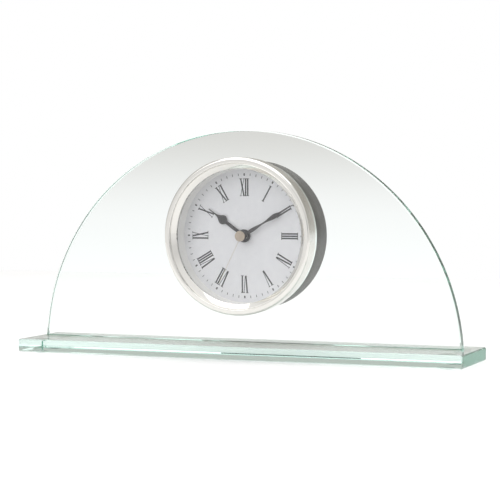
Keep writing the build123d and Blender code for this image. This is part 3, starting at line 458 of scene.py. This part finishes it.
# Bezel profile. Insets run inward from its edge, or from its crest for the groove and the
# slope's top. Depths run back from its front.
BEZEL_BACK_ROUND = 0.8 * MM
BAND_ROUND = 2.8 * MM
CREST_INSET = 2.6 * MM
GROOVE_BRINK_INSET = 0.9 * MM
GROOVE_BRINK_ROUND = 0.5 * MM
GROOVE_FLOOR_INSET = 1.25 * MM
GROOVE_DEPTH = 1.3 * MM
GROOVE_ROUND = 0.12 * MM
SLOPE_TOP_INSET = 1.6 * MM
SLOPE_TOP_DEPTH = 1.2 * MM
SLOPE_TOP_ROUND = 0.15 * MM
LIP_INSET = 7.1 * MM
LIP_DEPTH = 3.8 * MM
LIP_THICKNESS = 0.8 * MM
LIP_NOSE = 0.1 * MM
LIP_ROUND = 0.3 * MM
BEZEL_BORE_INSET = 4.3 * MM
SOCKET_WALL = 2.1 * MM
SOCKET_DEPTH = 3.0 * MM
BEZEL_SIDES = 256
BEZEL_CORNER_STEPS = 10

# Dial ring profile. Widths run inward from its edge, heights forward from its back.
RING_WALL = 2.6 * MM
RING_MOUTH_ROUND = 0.2 * MM
RING_FOOT = 2.8 * MM
RING_FOOT_HEIGHT = 0.6 * MM
RING_FOOT_ROUND = 0.15 * MM
RING_FOOT_FILLET = 0.1 * MM
RING_FILLET_HEIGHT = 0.7 * MM
RING_SIDES = 192
RING_CORNER_STEPS = 4


def half_round_outline(inset=0.0):
    """Points of the half-round panel from its right foot over the crown to its left foot."""
    low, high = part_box("upright_glass")
    half_chord = (high.x - low.x) / 2
    height = high.z - low.z
    radius = (half_chord**2 + height**2) / (2 * height)
    middle_z = high.z - radius
    start = math.asin((low.z + inset - middle_z) / (radius - inset))
    points = []
    for step in range(ARC_STEPS + 1):
        angle = start + (math.pi - 2 * start) * step / ARC_STEPS
        x = (radius - inset) * math.cos(angle)
        z = middle_z + (radius - inset) * math.sin(angle)
        points.append((x, z))
    return points


def circle_outline(radius):
    """Points of a circle about the dial axis, anticlockwise from the right."""
    points = []
    for step in range(ARC_STEPS):
        angle = 2 * math.pi * step / ARC_STEPS
        x = DIAL_CENTRE.x + radius * math.cos(angle)
        z = DIAL_CENTRE.z + radius * math.sin(angle)
        points.append((x, z))
    return points


def bridge_loops(work, first, second):
    """Quads between two closed loops of as many vertices."""
    count = len(first)
    for index in range(count):
        after = (index + 1) % count
        work.faces.new((first[index], first[after], second[after], second[index]))


def panel_mesh():
    """Half-round panel with a bevelled rim and a bevelled round hole."""
    low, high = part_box("upright_glass")
    barrel_low, barrel_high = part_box("barrel_case")
    hole_radius = (barrel_high.x - barrel_low.x) / 2 + HOLE_CLEARANCE
    mesh = bpy.data.meshes.new("panel")
    work = bmesh.new()

    def loop(points, depth):
        """Vertices of an outline at one depth."""
        return [work.verts.new((x, depth, z)) for x, z in points]

    rim_front = loop(half_round_outline(PANEL_ARRIS), low.y)
    side_front = loop(half_round_outline(), low.y + PANEL_ARRIS)
    side_back = loop(half_round_outline(), high.y - PANEL_ARRIS)
    rim_back = loop(half_round_outline(PANEL_ARRIS), high.y)
    bridge_loops(work, rim_front, side_front)
    bridge_loops(work, side_front, side_back)
    bridge_loops(work, side_back, rim_back)

    hole_front = loop(circle_outline(hole_radius + HOLE_FRONT_ARRIS), low.y)
    wall_front = loop(circle_outline(hole_radius), low.y + HOLE_FRONT_ARRIS)
    wall_back = loop(circle_outline(hole_radius), high.y - HOLE_BACK_ARRIS)
    hole_back = loop(circle_outline(hole_radius + HOLE_BACK_ARRIS), high.y)
    bridge_loops(work, wall_front, hole_front)
    bridge_loops(work, wall_back, wall_front)
    bridge_loops(work, hole_back, wall_back)

    for rim, hole in ((rim_front, hole_front), (rim_back, hole_back)):
        edges = []
        for ring in (rim, hole):
            for index in range(len(ring)):
                pair = (ring[index], ring[(index + 1) % len(ring)])
                edges.append(work.edges.get(pair) or work.edges.new(pair))
        bmesh.ops.triangle_fill(work, use_beauty=True, use_dissolve=False, edges=edges)
    bmesh.ops.recalc_face_normals(work, faces=work.faces)
    work.to_mesh(mesh)
    work.free()
    shade(mesh, PANEL_SHARP_DEGREES)
    return mesh


def bezel_outline():
    """(radius, y) of the bezel: rounded outer band, groove, sloped band and lip."""
    low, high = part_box("bezel_ring")
    outer = (high.x - low.x) / 2
    front = low.y
    back = high.y
    crest = outer - CREST_INSET
    lip = outer - LIP_INSET
    lip_front = front + LIP_DEPTH
    lip_back = lip_front + LIP_THICKNESS
    bore = outer - BEZEL_BORE_INSET
    socket = outer - SOCKET_WALL
    corners = [
        (outer, back, BEZEL_BACK_ROUND),
        (outer, front, BAND_ROUND),
        (crest - GROOVE_BRINK_INSET, front, GROOVE_BRINK_ROUND),
        (crest - GROOVE_FLOOR_INSET, front + GROOVE_DEPTH, GROOVE_ROUND),
        (crest - SLOPE_TOP_INSET, front + SLOPE_TOP_DEPTH, SLOPE_TOP_ROUND),
        (lip + LIP_NOSE, lip_front - LIP_NOSE, LIP_ROUND),
        (lip, lip_back, 0.0),
        (bore, lip_back, 0.0),
        (bore, back - SOCKET_DEPTH, 0.0),
        (socket, back - SOCKET_DEPTH, 0.0),
        (socket, back, 0.0),
    ]
    return rounded_outline(corners, BEZEL_CORNER_STEPS)


def ring_outline():
    """(radius, y) of the ring round the dial: a straight wall on a slightly wider foot."""
    low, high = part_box("inner_ring")
    outer = (high.x - low.x) / 2
    corners = [
        (outer - RING_WALL, low.y, RING_MOUTH_ROUND),
        (outer, low.y, 0.0),
        (outer, high.y, 0.0),
        (outer - RING_FOOT, high.y, 0.0),
        (outer - RING_FOOT, high.y - RING_FOOT_HEIGHT, RING_FOOT_ROUND),
        (outer - RING_WALL, high.y - RING_FILLET_HEIGHT, RING_FOOT_FILLET),
    ]
    return rounded_outline(corners, RING_CORNER_STEPS)


def make_glass_and_case():
    """Panel, bezel and dial ring, each in place of its CAD nodes."""
    glass = panel_mesh()
    panel = link_mesh("panel_polished", glass, "root", PANEL_GLASS.data, ["upright_glass", "bond_line"])

    turned = lathe(bezel_outline(), DIAL_CENTRE, BEZEL_SIDES)
    bezel = link_mesh("bezel_turned", turned, "root", CHROME.data, ["bezel_ring"])

    wall = lathe(ring_outline(), DIAL_CENTRE, RING_SIDES)
    ring = link_mesh("inner_ring_turned", wall, "root", SILVERED.data, ["inner_ring"])


# ------------------------------------------------------------------ dial printing

PRINT_RELIEF = 0.05 * MM
PRINT_DEPTH = 0.02 * MM
PRINT_FRONT = DIAL_FACE - PRINT_RELIEF
PRINT_BACK = DIAL_FACE + PRINT_DEPTH
NUMERAL_INNER = 24.8 * MM
NUMERAL_OUTER = 35.8 * MM
STEM = 0.90 * MM
HAIR = 0.37 * MM
SERIF = 0.36 * MM
SERIF_REACH = 0.45 * MM
STEM_PITCH = 1.42 * MM
WIDE_LETTER = 3.3 * MM
TRACK_RADIUS = 38.3 * MM
TICK_LENGTH = 1.5 * MM
MINUTE_TICK = 0.36 * MM
HOUR_TICK = 0.9 * MM
NUMERALS = ("XII", "I", "II", "III", "IV", "V", "VI", "VII", "VIII", "IX", "X", "XI")
HOURS = len(NUMERALS)
MINUTES = 60


def stroke(x0, z0, x1, z1, width):
    """Slanted bar with level ends, given by its middle line."""
    half = width / 2
    return [(x0 - half, z0), (x0 + half, z0), (x1 + half, z1), (x1 - half, z1)]


def serif(x, z, width):
    """Level serif centred on a stroke's end."""
    half = width / 2 + SERIF_REACH
    foot = z - SERIF / 2
    head = z + SERIF / 2
    return [(x - half, foot), (x + half, foot), (x + half, head), (x - half, head)]


def letter_strokes(letter, left):
    """Strokes of one letter with its left side at a place, and the letter's width."""
    bottom = NUMERAL_INNER + SERIF / 2
    top = NUMERAL_OUTER - SERIF / 2
    if letter == "I":
        x = left + STEM_PITCH / 2
        strokes = [stroke(x, bottom, x, top, STEM), serif(x, bottom, STEM), serif(x, top, STEM)]
        return strokes, STEM_PITCH
    inner = left + STEM / 2 + SERIF_REACH / 2
    outer = left + WIDE_LETTER - SERIF_REACH
    if letter == "V":
        foot = (inner + outer) / 2
        strokes = [
            stroke(inner, top, foot - STEM / 4, bottom, STEM),
            stroke(outer, top, foot + STEM / 4, bottom, HAIR),
            serif(inner, top, STEM),
            serif(outer, top, HAIR),
        ]
        return strokes, WIDE_LETTER
    strokes = [
        stroke(inner, top, outer, bottom, STEM),
        stroke(outer, top, inner, bottom, HAIR),
        serif(inner, top, STEM),
        serif(outer, top, HAIR),
        serif(inner, bottom, HAIR),
        serif(outer, bottom, STEM),
    ]
    return strokes, WIDE_LETTER


def around_dial(polygon, clock_degrees):
    """Turns a polygon that was drawn at twelve to another place on the dial."""
    turn = math.radians(clock_degrees)
    placed = []
    for x, z in polygon:
        across = DIAL_CENTRE.x + x * math.cos(turn) + z * math.sin(turn)
        up = DIAL_CENTRE.z - x * math.sin(turn) + z * math.cos(turn)
        placed.append((across, up))
    return placed


def make_numerals():
    """Roman numerals standing radially, each one piece."""
    for hour, text in enumerate(NUMERALS):
        strokes = []
        left = 0.0
        for letter in text:
            shapes, width = letter_strokes(letter, left)
            strokes += shapes
            left += width
        centred = [[(x - left / 2, z) for x, z in shape] for shape in strokes]
        placed = [around_dial(shape, hour * 360 / HOURS) for shape in centred]
        name = "numeral_" + str(hour or HOURS)
        piece = link_mesh(name, prisms(placed, PRINT_FRONT, PRINT_BACK), "root", INK.data)


def make_minute_track():
    """A tick for every minute, wider on the hours."""
    inner = TRACK_RADIUS - TICK_LENGTH / 2
    outer = TRACK_RADIUS + TICK_LENGTH / 2
    marks = []
    for minute in range(MINUTES):
        on_hour = minute % (MINUTES // HOURS) == 0
        mark = stroke(0, inner, 0, outer, HOUR_TICK if on_hour else MINUTE_TICK)
        marks.append(around_dial(mark, minute * 360 / MINUTES))
    piece = link_mesh("minute_track", prisms(marks, PRINT_FRONT, PRINT_BACK), "root", INK.data)


HAND_EDGES = {
    "hour_hand": 0.1 * MM,
    "minute_hand": 0.1 * MM,
    "second_hand": 0.05 * MM,
}
HAND_SHARP_DEGREES = 50.0


def soften_hands():
    """Small rolled edges on the stamped hands."""
    for name, width in HAND_EDGES.items():
        bevel = NODES[name].modifiers.new("rolled_edge", "BEVEL")
        bevel.width = width
        bevel.segments = 2
        bevel.limit_method = "ANGLE"
        bevel.angle_limit = math.radians(HAND_SHARP_DEGREES)


# ------------------------------------------------------------------ studio

# Fitted to the photo: angles in degrees, distances in metres, lens and film in millimetres.
CAMERA_AZIMUTH = 23.04
CAMERA_ELEVATION = 2.53
CAMERA_DISTANCE = 1.0097
CAMERA_TARGET = Vector((0.0154, -0.0270, 0.0685))
CAMERA_ROLL = -0.30
CAMERA_LENS = 119.97
CAMERA_FILM = 36.0
CAMERA_REACH = 50.0


def aim(position, target, roll_degrees=0.0):
    """World matrix at a position, looking at a target."""
    turn = (target - position).to_track_quat("-Z", "Y").to_matrix().to_4x4()
    roll = Matrix.Rotation(math.radians(roll_degrees), 4, "Z")
    return Matrix.Translation(position) @ turn @ roll


def towards_camera():
    """Unit vector from the clock towards the camera."""
    azimuth = math.radians(CAMERA_AZIMUTH)
    elevation = math.radians(CAMERA_ELEVATION)
    level = math.cos(elevation)
    return Vector((math.sin(azimuth) * level, -math.cos(azimuth) * level, math.sin(elevation)))


def make_camera():
    """Camera at the photo's viewing angle."""
    data = bpy.data.cameras.new("camera")
    data.lens = CAMERA_LENS
    data.sensor_width = CAMERA_FILM
    data.clip_end = CAMERA_REACH
    camera = bpy.data.objects.new("camera", data)
    bpy.context.scene.collection.objects.link(camera)
    position = CAMERA_TARGET + towards_camera() * CAMERA_DISTANCE
    camera.matrix_world = aim(position, CAMERA_TARGET, CAMERA_ROLL)
    bpy.context.scene.camera = camera


def make_softbox(name, position, target, width, height, power):
    """Rectangular area light aimed at a point, in metres and watts."""
    data = bpy.data.lights.new(name, "AREA")
    data.shape = "RECTANGLE"
    data.size = width
    data.size_y = height
    data.energy = power
    light = bpy.data.objects.new(name, data)
    bpy.context.scene.collection.objects.link(light)
    light.matrix_world = aim(Vector(position), Vector(target))


# Brightness of the studio by the sine of the angle above the horizon, behind and before the clock.
FALL_BEHIND = [
    (-1.0, 1.10),
    (-0.06, 1.05),
    (-0.04, 1.01),
    (-0.02, 0.97),
    (-0.006, 0.90),
    (0.013, 0.77),
    (0.025, 0.70),
    (0.10, 0.60),
    (0.30, 0.42),
    (0.60, 0.50),
    (0.85, 1.00),
    (1.0, 1.10),
]
FALL_BEFORE = [
    (-1.0, 1.05),
    (-0.02, 1.00),
    (0.15, 0.82),
    (0.30, 0.80),
    (0.50, 0.95),
    (0.85, 1.05),
]
# Powers on red, green and blue behind the clock: levels below 1 turn warm, the darker the more.
WARM_POWERS = (1.0, 1.07, 1.16)
# The two falls blend where the y of a direction lies this close to 0.
FALL_OVERLAP = 0.1
# Dark disc round the camera's direction, as angles in degrees from it.
LENS_SHADE_OUTER = 8.0
LENS_SHADE_INNER = 5.5
LENS_SHADE_LEVEL = 0.15


def sky_fall(tree, place, stops, powers=(1.0, 1.0, 1.0)):
    """Colours by height above the horizon; a power above 1 drains one from the darker levels."""
    ramp = tree.nodes.new("ShaderNodeValToRGB")
    coloured = []
    for height, level in stops:
        colour = tuple(level**power for power in powers)
        coloured.append(((height + 1) / 2, colour))
    fill_ramp(ramp, coloured)
    tree.links.new(place, ramp.inputs["Fac"])
    return ramp.outputs["Color"]


def ranged(tree, value, low, high):
    """Maps a value between two limits onto 0 to 1."""
    place = tree.nodes.new("ShaderNodeMapRange")
    place.inputs["From Min"].default_value = low
    place.inputs["From Max"].default_value = high
    tree.links.new(value, place.inputs["Value"])
    return place.outputs["Result"]


def blend(tree, factor, first, second):
    """Mix of two colours, the second one a socket or a plain grey level."""
    mix = tree.nodes.new("ShaderNodeMix")
    mix.data_type = "RGBA"
    tree.links.new(factor, mix.inputs["Factor"])
    tree.links.new(first, mix.inputs["A"])
    if isinstance(second, float):
        mix.inputs["B"].default_value = (second, second, second, 1.0)
    else:
        tree.links.new(second, mix.inputs["B"])
    return mix.outputs["Result"]


def make_world():
    """Pale sweep behind, softer light before with a dark lens in it, plain white to camera rays."""
    world = bpy.data.worlds.new("studio")
    bpy.context.scene.world = world
    world.use_nodes = True
    tree = world.node_tree
    direction = tree.nodes.new("ShaderNodeTexCoord").outputs["Generated"]
    split = tree.nodes.new("ShaderNodeSeparateXYZ")
    tree.links.new(direction, split.inputs["Vector"])
    height = ranged(tree, split.outputs["Z"], -1.0, 1.0)
    behind = ranged(tree, split.outputs["Y"], -FALL_OVERLAP, FALL_OVERLAP)
    before_fall = sky_fall(tree, height, FALL_BEFORE)
    behind_fall = sky_fall(tree, height, FALL_BEHIND, WARM_POWERS)
    room = blend(tree, behind, before_fall, behind_fall)
    dot = tree.nodes.new("ShaderNodeVectorMath")
    dot.operation = "DOT_PRODUCT"
    dot.inputs[1].default_value = towards_camera()
    tree.links.new(direction, dot.inputs[0])
    outer = math.cos(math.radians(LENS_SHADE_OUTER))
    inner = math.cos(math.radians(LENS_SHADE_INNER))
    shaded = blend(tree, ranged(tree, dot.outputs["Value"], outer, inner), room, LENS_SHADE_LEVEL)
    rays = tree.nodes.new("ShaderNodeLightPath")
    seen = blend(tree, rays.outputs["Is Camera Ray"], shaded, 1.0)
    tree.links.new(seen, tree.nodes["Background"].inputs["Color"])


FLOOR_HALF = 0.8
FLOOR_GLOW = 0.08


def make_floor():
    """Lit white table."""
    white = Material("floor_white", (0.92, 0.92, 0.92), 0.6)
    cloud = white.noise(scale=3.0, detail=2.0)
    white.vary_colour(cloud, [(0.3, (0.90, 0.90, 0.90)), (0.7, (0.91, 0.91, 0.91))])
    white.set("Emission Color", (1.0, 1.0, 1.0, 1.0))
    white.set("Emission Strength", FLOOR_GLOW)
    mesh = bpy.data.meshes.new("floor")
    corners = [
        (-FLOOR_HALF, -FLOOR_HALF, 0),
        (FLOOR_HALF, -FLOOR_HALF, 0),
        (FLOOR_HALF, FLOOR_HALF, 0),
        (-FLOOR_HALF, FLOOR_HALF, 0),
    ]
    mesh.from_pydata(corners, [], [(0, 1, 2, 3)])
    mesh.materials.append(white.data)
    floor = bpy.data.objects.new("floor", mesh)
    bpy.context.scene.collection.objects.link(floor)


def make_studio():
    """Background, table, camera and lamps."""
    scene = bpy.context.scene
    scene.view_settings.view_transform = "Standard"
    # Light runs the length of the slabs between their faces, so it needs many bounces.
    scene.cycles.max_bounces = 40
    scene.cycles.glossy_bounces = 32
    scene.cycles.transmission_bounces = 40
    scene.cycles.transparent_max_bounces = 32
    make_world()
    make_floor()
    make_camera()
    make_softbox(
        "top_box",
        position=(0.0, 0.1, 1.2),
        target=(0.0, 0.0, 0.05),
        width=1.6,
        height=1.2,
        power=6.0,
    )
    make_softbox(
        "front_box",
        position=(-0.6, -1.5, 1.3),
        target=(0.0, 0.0, 0.07),
        width=1.6,
        height=1.6,
        power=8.0,
    )


dress_cad_nodes()
make_glass_and_case()
make_numerals()
make_minute_track()
soften_hands()
make_studio()
